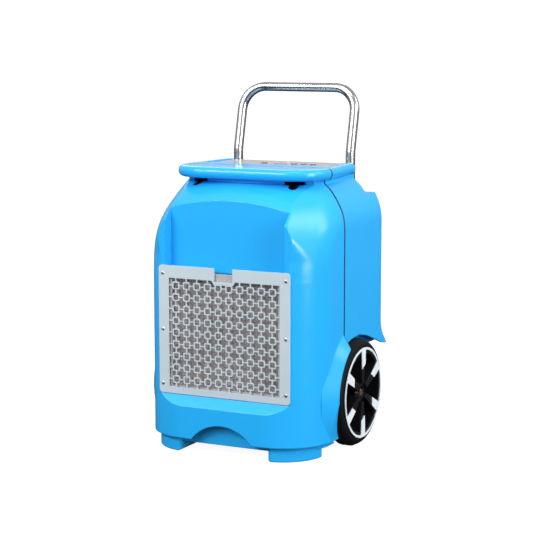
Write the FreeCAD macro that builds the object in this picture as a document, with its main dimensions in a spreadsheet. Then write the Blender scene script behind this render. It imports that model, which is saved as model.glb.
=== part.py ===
"""Commercial refrigerant dehumidifier on two wheels, built as separate parts.

Millimetres, +X to the operator's right, +Y to the back, +Z up.  The origin is on
the floor, under the middle of the machine's box.  Depths inside the machine are
written as distances behind the face of the intake grille, so a depth of 29 lies
29 mm behind it; face_y in the sheet is where that face stands.
"""
import FreeCAD, Part
import Sketcher
import math
import os
import re

Vector = FreeCAD.Vector

# Driving dimensions.  Each becomes a named cell of the sheet.
DIMENSIONS = {
    "face_y": -215.0,           # the grille face, along Y
    "nose": 15.0,               # lower bumper ahead of the grille face
    "body_half": 222.0,         # half the width across the flanks
    "body_deep": 415.0,         # rear wall behind the grille face
    "front_corner": 120.0,
    "rear_corner": 42.0,
    "skin": 4.5,                # wall of the moulded shells
    "hem": 34.0,                # lower edge of the shells above the floor
    "shoulder_low": 508.0,      # where the shoulder starts to curve in
    "shoulder_round": 131.0,
    "shoulder_turn": 51.8,      # degrees of that curve, up to the neck
    "front_sweep": 470.0,       # radius of the front's bow above the shoulder
    "neck_sweep": 1100.0,       # radius of the further bow it gains up to the neck
    "front_lean": 2.2,          # how much faster the front leans back than the sides
    "corner_reach": 154.3,      # how far the front corners stand out along their own way
    "corner_start": 522.0,      # where the shoulder starts to cut into the corners
    "corner_blend": 28.0,
    "corner_fall": 0.95,        # steepness of that cut above its start
    "neck_back": 330.0,
    "kick_low": 211.0,          # lower edge of the flared rear skirt
    "lower_deep": 365.0,        # rear wall of the narrow part between the wheels
    "hump_top": 576.0,          # ledge behind the neck
    "hump_round": 40.0,
    "rim_low": 620.0,
    "rim_high": 646.0,
    "rim_front": 72.0,
    "rim_back": 347.0,
    "rim_half_front": 198.0,
    "rim_half_back": 175.0,
    "rim_corner": 90.0,
    "panel_front": 212.0,       # front edge of the control panel's seat
    "seam": 166.0,              # parting plane of the two shells
    "seam_gap": 3.0,
    "recess": 29.0,             # depth of the panel above the grille
    "recess_half": 149.5,
    "plate_half": 165.5,
    "plate_low": 133.0,
    "plate_high": 427.6,
    "plate_thick": 2.0,
    "pitch": 27.05,             # spacing of the grille's rings
    "wheel_depth": 231.0,       # wheel axis behind the grille face
    "wheel_radius": 125.0,
    "wheel_face": 243.4,        # outermost face of the wheel from the middle
    "trim_radius": 105.0,
    "axle_radius": 8.0,
    "well_radius": 129.0,
    "well_side": 186.0,         # inner wall of the wheel well from the middle
    "well_top": 262.0,
    "leg_half": 148.8,          # handle legs from the middle
    "leg_depth": 362.0,
    "tube_radius": 11.5,
    "tube_wall": 1.5,
    "leg_low": 292.0,
    "kink_high": 668.0,
    "bar_high": 819.0,
    "handle_lean": 13.2,        # degrees the handle's top leans back
    "handle_bend": 57.0,
    "knob_high": 520.0,
    "fan_high": 396.0,
    "fan_radius": 100.0,
}

doc = FreeCAD.newDocument("Dehumidifier")
sheet = doc.addObject("Spreadsheet::Sheet", "Dimensions")
for row, (alias, amount) in enumerate(DIMENSIONS.items(), start=1):
    sheet.set("A%d" % row, alias)
    sheet.set("B%d" % row, str(amount))
    sheet.setAlias("B%d" % row, alias)
doc.recompute()

ALIAS = re.compile(r"\b(%s)\b" % "|".join(sorted(DIMENSIONS, key=len, reverse=True)))
TURN = {
    "z": FreeCAD.Rotation(),
    "x": FreeCAD.Rotation(Vector(0, 1, 0), 90),
    "-x": FreeCAD.Rotation(Vector(0, 1, 0), -90),
    "y": FreeCAD.Rotation(Vector(1, 0, 0), -90),
}
SIDES = {"left": -1, "right": 1}
CORNER_WAY = (0.8616, 0.5075)   # the way a front corner faces: sideways, forwards
nodes = []

# Fixing points: grille screws as (x, z), panel screws and buttons as (x, depth).
PLATE_SCREWS = [(x, z) for x in (-155.5, 155.5) for z in (154.5, 280.5, 409.5)]
PANEL_SCREWS = [(0, 224), (0, 332)]
PANEL_SCREWS += [(side * x, depth) for x, depth in ((148, 226), (138, 332)) for side in (-1, 1)]
BUTTONS = {"button_power": (-30, 266), "button_mode": (48, 266), "button_down": (72, 266),
           "button_up": (96, 266)}


# ---------------------------------------------------------------- helpers

def bind(text):
    """An expression with every alias pointed at the sheet."""
    return ALIAS.sub(r"Dimensions.\1", str(text))


def number(text):
    """The present value of an expression."""
    return float(sheet.evalExpression(bind(text)))


def behind(depth):
    """The expression for a depth behind the grille face, along Y."""
    return "face_y + (%s)" % depth


def at(x, depth, z):
    """A point, its depth counted from the grille face."""
    return Vector(number(x), number(behind(depth)), number(z))


def node(label, item):
    """Names a finished sub-part after its file."""
    item.Label = label
    nodes.append(item)
    return item


def primitive(kind, name, base, turn, **sizes):
    """A Part primitive whose sizes and place follow the sheet."""
    item = doc.addObject("Part::" + kind, name)
    item.Placement = FreeCAD.Placement(Vector(), TURN[turn])
    for prop, expression in sizes.items():
        item.setExpression(prop, bind(expression))
    for axis, expression in zip("xyz", base):
        item.setExpression("Placement.Base." + axis, bind(expression))
    return item


def box(name, x, depth, z):
    """A box between pairs of limits; the depth pair counts from the grille face."""
    return primitive("Box", name, (x[0], behind(depth[0]), z[0]), "z",
                     Length="(%s) - (%s)" % (x[1], x[0]),
                     Width="(%s) - (%s)" % (depth[1], depth[0]),
                     Height="(%s) - (%s)" % (z[1], z[0]))


def cylinder(name, radius, length, x, depth, z, turn="z"):
    """A cylinder that starts at a point and runs along its turned axis."""
    return primitive("Cylinder", name, (x, behind(depth), z), turn, Radius=radius, Height=length)


def fuse(name, parts):
    """One object of several solids, joined where they touch."""
    item = doc.addObject("Part::MultiFuse", name)
    item.Shapes = parts
    return item


def group(name, parts):
    """Several loose solids kept as one object."""
    item = doc.addObject("Part::Compound", name)
    item.Links = parts
    return item


def cut(name, base, tools):
    """A base less its tools."""
    item = doc.addObject("Part::Cut", name)
    item.Base = base
    item.Tool = tools[0] if len(tools) == 1 else fuse(name + "_tools", tools)
    return item


def feature(name, shape):
    """An object whose shape is computed below from the sheet."""
    item = doc.addObject("Part::Feature", name)
    item.Shape = shape
    item.Placement = FreeCAD.Placement()
    return item


def block(x, depth, z):
    """A plain box shape between pairs of limits."""
    low = at(x[0], depth[0], z[0])
    high = at(x[1], depth[1], z[1])
    size = high - low
    return Part.makeBox(size.x, size.y, size.z, low)


def rod(radius, start, finish):
    """A plain cylinder shape between two points."""
    run = finish - start
    return Part.makeCylinder(number(radius), run.Length, start, run)


def prism(points, run):
    """The solid swept by a polygon of points along a vector."""
    return Part.Face(Part.makePolygon(points + points[:1])).extrude(run)


def mirrored(shape):
    """A shape joined with its mirror image across the middle plane."""
    return shape.fuse(shape.mirror(Vector(), Vector(1, 0, 0)))


# ---------------------------------------------------------------- sketches

def body(name):
    """An empty PartDesign body."""
    return doc.addObject("PartDesign::Body", name)


def sketch(owner, role, name, lift=0):
    """A sketch on one of a body's own origin planes, or lifted off it."""
    item = owner.newObject("Sketcher::SketchObject", name)
    plane = next(part for part in owner.Origin.OriginFeatures if part.Role == role)
    item.AttachmentSupport = [(plane, "")]
    item.MapMode = "FlatFace"
    item.AttachmentOffset = FreeCAD.Placement(Vector(0, 0, lift), FreeCAD.Rotation())
    return item


def draw_circle(item, radius, x=0, y=0):
    """A circle whose radius and centre follow the sheet."""
    centre = Vector(number(x), number(y), 0)
    index = item.addGeometry(Part.Circle(centre, Vector(0, 0, 1), number(radius)))
    for kind, expression in (("Radius", radius), ("DistanceX", x), ("DistanceY", y)):
        if kind == "Radius":
            rule = Sketcher.Constraint(kind, index, number(expression))
        else:
            rule = Sketcher.Constraint(kind, -1, 1, index, 3, number(expression))
        item.setExpression("Constraints[%d]" % item.addConstraint(rule), bind(expression))


def draw_polygon(item, points):
    """A closed polygon whose corners follow the sheet."""
    corners = [Vector(number(x), number(y), 0) for x, y in points]
    first = item.GeometryCount
    for place, corner in enumerate(corners):
        item.addGeometry(Part.LineSegment(corner, corners[(place + 1) % len(corners)]))
    for place, (x, y) in enumerate(points):
        after = first + (place + 1) % len(points)
        item.addConstraint(Sketcher.Constraint("Coincident", first + place, 2, after, 1))
        for kind, expression in (("DistanceX", x), ("DistanceY", y)):
            rule = Sketcher.Constraint(kind, -1, 1, first + place, 1, number(expression))
            item.setExpression("Constraints[%d]" % item.addConstraint(rule), bind(expression))


def pad(owner, profile, length, name, reverse=False):
    """A pad of a sketch."""
    item = owner.newObject("PartDesign::Pad", name)
    item.Profile = profile
    item.setExpression("Length", bind(length))
    item.Reversed = reverse
    return item


def revolve(owner, profile, name):
    """A full turn of a sketch about its own vertical axis."""
    item = owner.newObject("PartDesign::Revolution", name)
    item.Profile = profile
    item.ReferenceAxis = (profile, ["V_Axis"])
    item.Angle = 360
    return item


def repeat_round(owner, source, axis_sketch, count, name):
    """A polar pattern of one feature about a sketch's normal."""
    item = owner.newObject("PartDesign::PolarPattern", name)
    item.Originals = [source]
    item.Axis = (axis_sketch, ["N_Axis"])
    item.Angle = 360
    item.Occurrences = count
    owner.Tip = item
    return item


def place(item, x, depth, z, turn="z"):
    """Turns a finished body and binds its position to the sheet."""
    item.Placement = FreeCAD.Placement(Vector(), TURN[turn])
    for axis, expression in zip("xyz", (x, behind(depth), z)):
        item.setExpression("Placement.Base." + axis, bind(expression))
    return item


# ---------------------------------------------------------------- moulded shells

def arc_points(middle, radius, first, last):
    """Three points of an arc between the ways its ends face, as flat vectors."""
    half_way = (first + last).normalize()
    return [middle + way * radius for way in (first, half_way, last)]


def plain_corner(half, front, radius, sweep):
    """The arc that rounds the front into the flank."""
    reach = half - radius
    level = front + sweep - math.sqrt((sweep - radius) ** 2 - reach ** 2)
    middle = Vector(reach, level, 0)
    ahead = (middle - Vector(0, front + sweep, 0)).normalize()
    return [arc_points(middle, radius, ahead, Vector(1, 0, 0))]


def flattened_corner(half, front, sweep, reach, edge, flank):
    """Two arcs with a flat between them, the flat at a distance along the corner's own way.

    The edge and flank radii round the flat into the front and into the flank.
    """
    way = Vector(CORNER_WAY[0], -CORNER_WAY[1], 0)
    along = Vector(CORNER_WAY[1], CORNER_WAY[0], 0)
    centre = Vector(0, front + sweep, 0)
    start = Vector(0, number("face_y"), 0) + way * (reach - edge)
    offset = start - centre
    ahead = offset.dot(along)
    travel = -ahead - math.sqrt(ahead ** 2 - offset.dot(offset) + (sweep - edge) ** 2)
    middle = start + along * travel
    facing = (middle - centre).normalize()
    level = (CORNER_WAY[0] * (half - flank) - (reach - flank)) / CORNER_WAY[1]
    side = Vector(half - flank, level + number("face_y"), 0)
    return [arc_points(middle, edge, facing, way), arc_points(side, flank, way, Vector(1, 0, 0))]


def outline(z, half, front, back, front_corner, rear_corner, bow=1e-5, flat=None):
    """A closed wire at height z: a bowed front between rounded corners, square behind.

    The bow is the curvature of the front line. A flat is the reach of the flattened front
    corner with its edge and flank radii.
    """
    start = number("face_y")
    front, back, sweep = front + start, back + start, 1 / bow
    if flat:
        right = flattened_corner(half, front, sweep, *flat)
    else:
        right = plain_corner(half, front, front_corner, sweep)
    rear = Vector(half - rear_corner, back - rear_corner, 0)
    right.append(arc_points(rear, rear_corner, Vector(1, 0, 0), Vector(0, 1, 0)))
    left = [[Vector(-point.x, point.y, 0) for point in reversed(arc)] for arc in reversed(right)]
    arcs = [[point + Vector(0, 0, z) for point in arc] for arc in right + left]
    edges = []
    for arc, following in zip(arcs, arcs[1:]):
        edges.append(Part.Arc(*arc).toShape())
        edges.append(Part.LineSegment(arc[2], following[0]).toShape())
    edges.append(Part.Arc(*arcs[-1]).toShape())
    edges.append(Part.Arc(arcs[-1][2], Vector(0, front, z), arcs[0][0]).toShape())
    return Part.Wire(edges)


def ease(z, low, high):
    """A smooth step from nought at low to one at high."""
    share = min(max((z - low) / (high - low), 0.0), 1.0)
    return share * share * (3 - 2 * share)


def corner_flat(z, inset):
    """The front corner's flat at height z: its reach, its edge radius, its flank radius.

    The reach is steady up the flank and falls off in a smooth bend at the shoulder.
    """
    blend, fall = number("corner_blend"), number("corner_fall")
    climb = math.exp((z - number("corner_start")) / blend)
    slope = fall * climb / (1 + climb)
    reach = number("corner_reach") - fall * blend * math.log(1 + climb)
    turn = ease(z, 440, 545)
    edge = number("front_corner") * (1 - turn) + 4 * turn
    flank = number("front_corner") + 40 * turn - 120 * ease(z, 560, 612)
    return reach - inset * math.hypot(1, slope), max(edge - inset, 1.5), flank - inset


def body_sections(inset):
    """Outlines of the moulded body from below its shoulder up to the neck."""
    half, deep, nose = number("body_half"), number("body_deep"), number("nose")
    low, radius = number("shoulder_low"), number("shoulder_round")
    rows = [(z, inset) for z in (405, 425, 442, 459, 476, 492)]
    for step in range(9):
        angle = math.radians(number("shoulder_turn") * step / 8)
        rows.append((low + (radius - inset) * math.sin(angle),
                     radius - (radius - inset) * math.cos(angle)))
    wires = []
    for z, lean in rows:
        front = inset - nose + (lean - inset) * number("front_lean")
        bow = max(1e-5, ease(z, 500, 560) / (number("front_sweep") - inset))
        bow += ease(z, 560, 605) / (number("neck_sweep") - inset)
        wires.append(outline(z, half - lean, front, deep - inset, 0,
                             number("rear_corner") - inset, bow, corner_flat(z, inset)))
    return wires


def moulded_body(inset, base):
    """The closed moulded body up to the neck, drawn in by the inset."""
    half, nose = number("body_half") - inset, inset - number("nose")
    rear = number("rear_corner") - inset
    sections = body_sections(inset)
    join = sections[0].BoundBox.ZMin
    kick = number("kick_low") + inset
    flat = corner_flat(join, inset)
    lower = Part.Face(outline(base, half, nose, number("lower_deep") - inset, 0, rear - 12,
                              flat=flat)).extrude(Vector(0, 0, kick + 20 - base))
    upper = Part.Face(outline(kick, half, nose, number("body_deep") - inset, 0, rear,
                              flat=flat)).extrude(Vector(0, 0, join - kick))
    shoulder = Part.makeLoft(sections, True, False)
    top = sections[-1]
    neck = Part.Face(top).extrude(
        Vector(0, 0, number("rim_low") + 1 + inset - top.BoundBox.ZMin))
    whole = lower.fuse([upper, shoulder, neck])
    above = block(("-body_half", "body_half"), ("neck_back - %s" % inset, 500),
                  ("hump_top - %s" % inset, 700))
    return whole.cut([above, hump_rounding(inset)])


def hump_rounding(inset):
    """The corner of material removed along the top rear edge of the hump."""
    radius = number("hump_round")
    top = number("hump_top") - inset
    rear = number(behind("body_deep")) - inset
    edge = Part.makeBox(500, radius + 5, radius + 5, Vector(-250, rear - radius, top - radius))
    return edge.cut(Part.makeCylinder(radius, 500, Vector(-250, rear - radius, top - radius),
                                      Vector(1, 0, 0)))


def rear_kick(inset, low):
    """The flared lower edge of the rear wall, over the wheels."""
    rows = ((276, 0), (262, 1), (250, 4), (238, 10), (226, 19), (217, 27), (low, 30))
    wires = []
    for z, spread in rows:
        wires.append(outline(z, number("body_half") - inset + spread * 0.05, 240,
                             number("body_deep") - inset + spread, 20,
                             number("rear_corner") - inset))
    return Part.makeLoft(wires, True, False)


def rim_prism(inset, low, high):
    """The plan of the top rim as an upright solid with rounded corners."""
    front, back = number("rim_front") + inset, number("rim_back")
    wide, narrow = number("rim_half_front") - inset, number("rim_half_back") - inset
    corners = [at(-wide, front, low), at(wide, front, low), at(narrow, back, low),
               at(-narrow, back, low)]
    solid = prism(corners, Vector(0, 0, high - low))
    upright = [edge for edge in solid.Edges if abs(edge.BoundBox.ZLength - (high - low)) < 0.01]
    ahead = [edge for edge in upright if edge.BoundBox.YMax < corners[0].y + 1]
    solid = solid.makeFillet(number("rim_corner") - inset, ahead)
    astern = [edge for edge in solid.Edges
              if abs(edge.BoundBox.ZLength - (high - low)) < 0.01
              and edge.BoundBox.YMin > corners[2].y - 1]
    return solid.makeFillet(24 - inset * 0.5, astern)


def rounded_rim(inset=0):
    """The rounded cap that overhangs the neck and frames the control panel."""
    low, high = number("rim_low") + inset, number("rim_high") - inset
    solid = rim_prism(inset, low, high)
    level = [edge for edge in solid.Edges if edge.BoundBox.ZLength < 0.01]
    return solid.makeFillet((high - low) * 0.46, level)


def wheel_flare():
    """The lip that swells the flank round the front and top of each wheel."""
    axis = at("body_half - 8", "wheel_depth", "wheel_radius")
    lip = 240.0 - axis.x
    radius = number("well_radius")
    cone = Part.makeCone(radius + 3 + lip * 1.5, radius + 3, lip, axis, Vector(1, 0, 0))
    low = [at("body_half - 2", 0, 30), at("body_half + 26", 0, 160), at("body_half + 26", 0, 400),
           at("body_half - 30", 0, 400), at("body_half - 30", 0, 30)]
    keep = prism(low, Vector(0, number("seam"), 0))
    return mirrored(cone.common(keep))


def well_solid(grow, roof):
    """The space of both wheel wells, optionally grown by a wall's thickness."""
    side = number("well_side") - grow
    start = at(side, "wheel_depth", "wheel_radius")
    round_part = rod(number("well_radius") + grow, start, start + Vector(120, 0, 0))
    tail = block((side, 320), ("wheel_depth", 520), (-20, roof + grow))
    return mirrored(round_part.fuse(tail))


def arch_cut():
    """What is taken off the flanks: the wheel arch and the space behind the wheel."""
    start = at("body_half - 18", "wheel_depth", "wheel_radius")
    arch = rod("well_radius", start, start + Vector(80, 0, 0))
    line = [(231, -20), (231, 254), (258, 255), (300, 246), (345, 230), (385, 215),
            (405, 211), (520, 211), (520, -20)]
    tail = prism([at("body_half - 18", depth, z) for depth, z in line], Vector(80, 0, 0))
    return mirrored(arch.fuse(tail))


def well_cut():
    """Everything removed for the wheels inside the flanks."""
    start = at("well_side", "wheel_depth", "wheel_radius")
    drum = rod("well_radius", start, start + Vector(120, 0, 0))
    low = block(("well_side", 320), ("wheel_depth", 520), (-20, "kick_low"))
    inside = moulded_body(number("skin"), 20).fuse(rear_kick(number("skin"), 200))
    roof = block(("well_side", 320), ("wheel_depth", 520), (190, "well_top")).common(inside)
    return mirrored(drum.fuse([low, roof]))


def front_cut():
    """The flat face round the grille, its angled sides and the sloped sill below it."""
    face = "plate_thick"
    plan = [at(-168, face, 100), at(168, face, 100), at(240, 65, 100),
            at(240, -90, 100), at(-240, -90, 100), at(-240, 65, 100)]
    upright = prism(plan, Vector(0, 0, 600))
    side = [at(-250, -90, 20), at(-250, "1 - nose", 110), at(-250, face, 131), at(-250, 140, 131),
            at(-250, 140, 720), at(-250, -90, 720)]
    return upright.common(prism(side, Vector(500, 0, 0)))


def panel_cut():
    """The tapering recess above and behind the grille."""
    recess = block(("-recess_half", "recess_half"), (-90, "recess"), (138, 690))
    window = block((-141, 141), (0, "recess + 20"), (150, 412))
    return recess.fuse(window)


def foot_arch_cut():
    """The low arch in the front edge."""
    return rod(97.5, at(0, -60, "71 - 97.5"), at(0, 12, "71 - 97.5"))


def tie_hole_cut():
    """The tie-down hole under the rim at each front corner."""
    middle = at(121, 108, 607)
    run = Vector(-0.30, 0.86, -0.42)
    return mirrored(rod(11, middle - run * 30, middle + run * 24))


def panel_seat_cut():
    """The seat of the control panel, open at the back, and the way down through the neck."""
    seat = rim_prism(26, 640, 700).fuse(block((-151, 151), (300, 400), (640, 700)))
    seat = seat.common(block((-300, 300), ("panel_front", 400), (640, 700)))
    through = rim_prism(38, 590, 700).common(block((-300, 300), ("panel_front + 6", 322), (580, 710)))
    under_roof = rim_prism(38, 590, number("rim_high - skin")).common(
        block((-300, 300), (0, "panel_front + 10"), (580, 700)))
    return seat.fuse([through, under_roof])


def openings():
    """Outlet, handle, clamp, inlet, drain and axle openings, and the screws' pilot holes."""
    wall = "body_deep"
    tools = [rod("fan_radius + 8", at(0, "%s - 30" % wall, "fan_high"),
                 at(0, "%s + 20" % wall, "fan_high"))]
    for side in SIDES.values():
        leg = "%d * leg_half" % side
        tools.append(rod("tube_radius + 5.2", at(leg, "leg_depth", 560), at(leg, "leg_depth", 600)))
        tools.append(rod(6, at(leg, "%s - 20" % wall, "knob_high"),
                         at(leg, "%s + 20" % wall, "knob_high")))
    tools.append(rod("axle_radius + 1", at(-230, "wheel_depth", "wheel_radius"),
                     at(230, "wheel_depth", "wheel_radius")))
    for x, z, radius in ((95, 110, 14), (30, 60, 10)):
        tools.append(rod(radius, at(x, "lower_deep - 20", z), at(x, "lower_deep + 20", z)))
    tools += [rod(1.95, at(x, 0, z), at(x, 20, z)) for x, z in PLATE_SCREWS]
    tools += [rod(1.95, at(x, depth, 632), at(x, depth, 642)) for x, depth in PANEL_SCREWS]
    return tools


def shells():
    """Both moulded shells, cut from one hollow body at the parting plane."""
    skin = number("skin")
    hem = number("hem")
    outside = moulded_body(0, hem).fuse([rear_kick(0, number("kick_low")), wheel_flare()])
    outside = outside.cut([front_cut(), panel_cut(), foot_arch_cut(), tie_hole_cut(),
                           arch_cut(), well_cut()])
    outside = outside.fuse(rounded_rim()).cut(panel_seat_cut())
    behind_front = block((-240, 240), (-90, "plate_thick + skin"), (20, 700)).fuse(
        block(("-recess_half - skin", "recess_half + skin"), (-90, "recess + skin"), (134, 700)))
    facet = front_cut()
    facet.translate(Vector(0, skin, 0))
    inside = moulded_body(skin, hem - 20).fuse(rear_kick(skin, number("kick_low") + skin))
    inside = inside.cut([well_solid(skin, number("well_top")),
                         behind_front.common(block((-240, 240), (-90, 200), (131 - skin, 700))),
                         facet])
    hollow = outside.cut([inside] + openings())
    hollow = hollow.common(block((-260, 260), (-60, 520), (hem, 700)))
    front = hollow.common(block((-260, 260), (-60, "seam - seam_gap / 2"), (0, 700)))
    rear = hollow.common(block((-260, 260), ("seam + seam_gap / 2", 520), (0, 700)))
    strip = moulded_body(3.2, hem).fuse(rounded_rim(3.2)).common(
        block((-260, 260), ("seam - 1.3", "seam + 1.3"), (hem, 650)))
    strip = strip.cut([inside, arch_cut(), well_cut(), panel_seat_cut()])
    return largest(front), largest(rear), largest(strip)


def largest(shape):
    """The one solid that matters, without slivers."""
    return max(shape.Solids, key=lambda solid: solid.Volume)


front_half, rear_half, seam_strip = shells()
node("front_shell", feature("FrontShell", front_half))
node("rear_shell", feature("RearShell", rear_half))
node("seam_gasket", feature("SeamGasket", seam_strip))


# ---------------------------------------------------------------- base

def tray_plan(half, front, corner, low, high):
    """The base tray's plan as a solid, kept clear of the wheel wells."""
    plan = Part.Face(outline(low, half, front, number("lower_deep") - 8, corner, 22))
    return plan.extrude(Vector(0, 0, high - low)).cut(well_solid(number("skin") + 3, 300))


def base_tray():
    """The tub that closes the shells from below, with a foot under each front corner."""
    tub = tray_plan(210, 8, 104, 22, 78)
    hollow = tray_plan(207, 11, 101, 26, 90)
    plan = Part.Face(outline(0, 203, -5, 300, 100, 20)).extrude(Vector(0, 0, 40))
    foot = plan.common(block((111.5, 220), (-20, 88), (0, 40)))
    inner = [edge for edge in foot.Edges if edge.BoundBox.XMax < 112 and edge.Length > 39]
    foot = foot.makeFillet(7, inner)
    ground = [edge for edge in foot.Edges if edge.BoundBox.ZMax < 0.01]
    return tub.fuse(mirrored(foot.makeFillet(3, ground))).cut(hollow)


node("base_tray", feature("BaseTray", largest(base_tray())))

chassis = [box("ChassisFloor", (-168, 168), (42, 352), (26, 29))]
for side_name, sign in SIDES.items():
    near, far = sorted((sign * 168, sign * 165))
    chassis.append(box("ChassisCheek_" + side_name, (near, far), (198, 264), (29, 152)))
node("chassis_frame", cut("ChassisFrame", fuse("ChassisParts", chassis), [
    cylinder("AxleHoles", "axle_radius + 0.1", 360, -180, "wheel_depth", "wheel_radius", "x")]))

screws = []
for index, (x, depth) in enumerate(((-90, 45), (90, 45), (-140, 190), (140, 190),
                                    (-140, 335), (140, 335))):
    screws.append(cylinder("BaseScrew%d" % index, 5, 3, x, depth, 19))
node("base_screws", group("BaseScrews", screws))

# ---------------------------------------------------------------- wheels and axle

axle = cylinder("AxleRod", "axle_radius", 464, -232, "wheel_depth", "wheel_radius", "x")
bores = [cylinder("AxleBoreRight", 4, 20, 212, "wheel_depth", "wheel_radius", "x"),
         cylinder("AxleBoreLeft", 4, 20, -212, "wheel_depth", "wheel_radius", "-x")]
node("axle", cut("Axle", axle, bores))

bolts, washers = [], []
for side_name, sign in SIDES.items():
    turn = "x" if sign > 0 else "-x"
    washer = cut("Washer_" + side_name, cylinder("WasherDisc_" + side_name, 12.5, 2,
                 sign * 229.8, "wheel_depth", "wheel_radius", turn),
                 [cylinder("WasherHole_" + side_name, "axle_radius + 0.1", 2, sign * 229.8,
                           "wheel_depth", "wheel_radius", turn)])
    washers.append(washer)
    head = primitive("Prism", "BoltHead_" + side_name,
                     (sign * 232, behind("wheel_depth"), "wheel_radius"), turn,
                     Circumradius=9, Height=5)
    head.Polygon = 6
    shank = cylinder("BoltShank_" + side_name, 3.9, 17, sign * 215, "wheel_depth",
                     "wheel_radius", turn)
    bolts.append(fuse("Bolt_" + side_name, [head, shank]))
node("hub_washers", group("HubWashers", washers))
node("hub_bolts", group("HubBolts", bolts))


def tyre(side_name, turn, sign):
    """A solid rubber tyre with a flat tread and chamfered shoulders."""
    owner = body("Tyre_" + side_name)
    profile = sketch(owner, "XZ_Plane", "TyreProfile_" + side_name)
    draw_polygon(profile, [(98, 8), (105.1, 8), (105.1, 3), (112, 3), (118, 6), (122, 12),
                           ("wheel_radius", 20), ("wheel_radius", 36), (122, 43), (116, 47),
                           (104, 49), (98, 44)])
    revolve(owner, profile, "TyreTurn_" + side_name)
    place(owner, "%d * wheel_face" % sign, "wheel_depth", "wheel_radius", turn)
    return node("tyre_" + side_name, owner)


def wheel_rim(side_name, turn, sign):
    """A dished black rim with six spokes, a closed back and a hub on the axle."""
    owner = body("WheelRim_" + side_name)
    profile = sketch(owner, "XZ_Plane", "RimProfile_" + side_name)
    draw_polygon(profile, [("axle_radius + 0.05", 14), (14, 14), (14, 7), (19, 7), (24, 12),
                           (24, 36), (90, 38), (93, 1.8), (104.8, 1.8), (104.8, 7.8),
                           (98, 7.8), (98, 44), (24, 42), (24, 48),
                           ("axle_radius + 0.05", 48)])
    revolve(owner, profile, "RimTurn_" + side_name)
    spoke = sketch(owner, "XY_Plane", "SpokeOutline_" + side_name, 1.8)
    draw_polygon(spoke, [(22, -5), (60, -9), (91, -12), (91, 13), (64, 11), (22, 5)])
    arm = pad(owner, spoke, 28, "Spoke_" + side_name)
    arm.TaperAngle = 10
    repeat_round(owner, arm, spoke, 6, "Spokes_" + side_name)
    place(owner, "%d * wheel_face" % sign, "wheel_depth", "wheel_radius", turn)
    return node("wheel_rim_" + side_name, owner)


def wheel_trim(side_name, turn, sign):
    """The white ring with its six pointed tips that faces the wheel."""
    owner = body("WheelTrim_" + side_name)
    ring = sketch(owner, "XY_Plane", "RingOutline_" + side_name)
    draw_circle(ring, "trim_radius")
    draw_circle(ring, "trim_radius - 5.5")
    pad(owner, ring, 1.6, "Ring_" + side_name)
    tip = sketch(owner, "XY_Plane", "TipOutline_" + side_name)
    draw_polygon(tip, [(101, -11), (101, 12), (66, 10), (56, -8)])
    point = pad(owner, tip, 1.6, "Tip_" + side_name)
    repeat_round(owner, point, tip, 6, "Tips_" + side_name)
    place(owner, "%d * wheel_face" % sign, "wheel_depth", "wheel_radius", turn)
    return node("wheel_trim_" + side_name, owner)


for side_name, sign in SIDES.items():
    inward = "-x" if sign > 0 else "x"
    tyre(side_name, inward, sign)
    wheel_rim(side_name, inward, sign)
    wheel_trim(side_name, inward, sign)


# ---------------------------------------------------------------- intake grille and filter

def lattice():
    """Rounded-square rings on a square pitch, joined by thin bars."""
    pitch, plate = number("pitch"), number("plate_thick")
    low = at(0, 0, 166)
    columns = [pitch * (index - 4.5) for index in range(10)]
    rows = [pitch * index for index in range(9)]
    bars = [Part.makeBox(2.6, plate, 252, Vector(x - 1.3, low.y, 148)) for x in columns]
    bars += [Part.makeBox(280, plate, 2.6, Vector(-140, low.y, low.z + z - 1.3)) for z in rows]
    rings, holes = [], []
    for x in columns:
        for z in rows:
            middle = Vector(x, low.y, low.z + z)
            rings.append(rounded_square(middle, 17.5, 3.4, plate))
            holes.append(rounded_square(middle, 12.2, 1.6, plate))
    return Part.Compound(bars).fuse(rings).cut(holes)


def rounded_square(middle, side, radius, thick):
    """A square tile standing in the grille's plane, with rounded corners."""
    tile = Part.makeBox(side, thick, side, middle - Vector(side / 2, 0, side / 2))
    edges = [edge for edge in tile.Edges if edge.BoundBox.YLength > thick / 2]
    return tile.makeFillet(radius, edges)


def grille_plate():
    """The pierced metal plate over the filter, notched at the top."""
    thick = number("plate_thick")
    plate = block(("-plate_half", "plate_half"), (0, "plate_thick"), ("plate_low", "plate_high"))
    plate = plate.makeFillet(8, [edge for edge in plate.Edges
                                 if edge.BoundBox.YLength > thick / 2
                                 and edge.BoundBox.XLength < 0.01])
    window = block((-140, 140), (-1, 4), (148, 399))
    notch = block((-23, 23), (-1, 4), (397, 440))
    bridge = prism([at(-30, 0, 399), at(-24, 0, 390), at(24, 0, 390), at(30, 0, 399)],
                   Vector(0, thick, 0))
    plate = plate.cut(window).fuse([lattice().common(window), bridge]).cut(notch)
    fixings = [rod(2.2, at(x, -1, z), at(x, 4, z)) for x, z in PLATE_SCREWS]
    return plate.cut(fixings)


node("grille_plate", feature("GrillePlate", largest(grille_plate())))

screws = []
for index, (x, z) in enumerate(PLATE_SCREWS):
    head = cylinder("GrilleScrewHead%d" % index, 4, 1.6, x, -1.6, z, "y")
    shank = cylinder("GrilleScrewShank%d" % index, 1.9, 8, x, -0.5, z, "y")
    screws.append(fuse("GrilleScrew%d" % index, [head, shank]))
node("grille_screws", group("GrilleScrews", screws))

node("filter_frame", cut("FilterFrame", box("FilterBlock", (-146, 146), (5, 23), (139, 412)), [
    box("FilterWindow", (-134, 134), (4, 24), (151, 396)),
    box("FilterSlot", (-138, 138), (11, 17), (147, 402))]))
node("filter_mesh", box("FilterMesh", (-137.8, 137.8), (11.5, 16.5), (147.2, 401.8)))


# ---------------------------------------------------------------- handle

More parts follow.
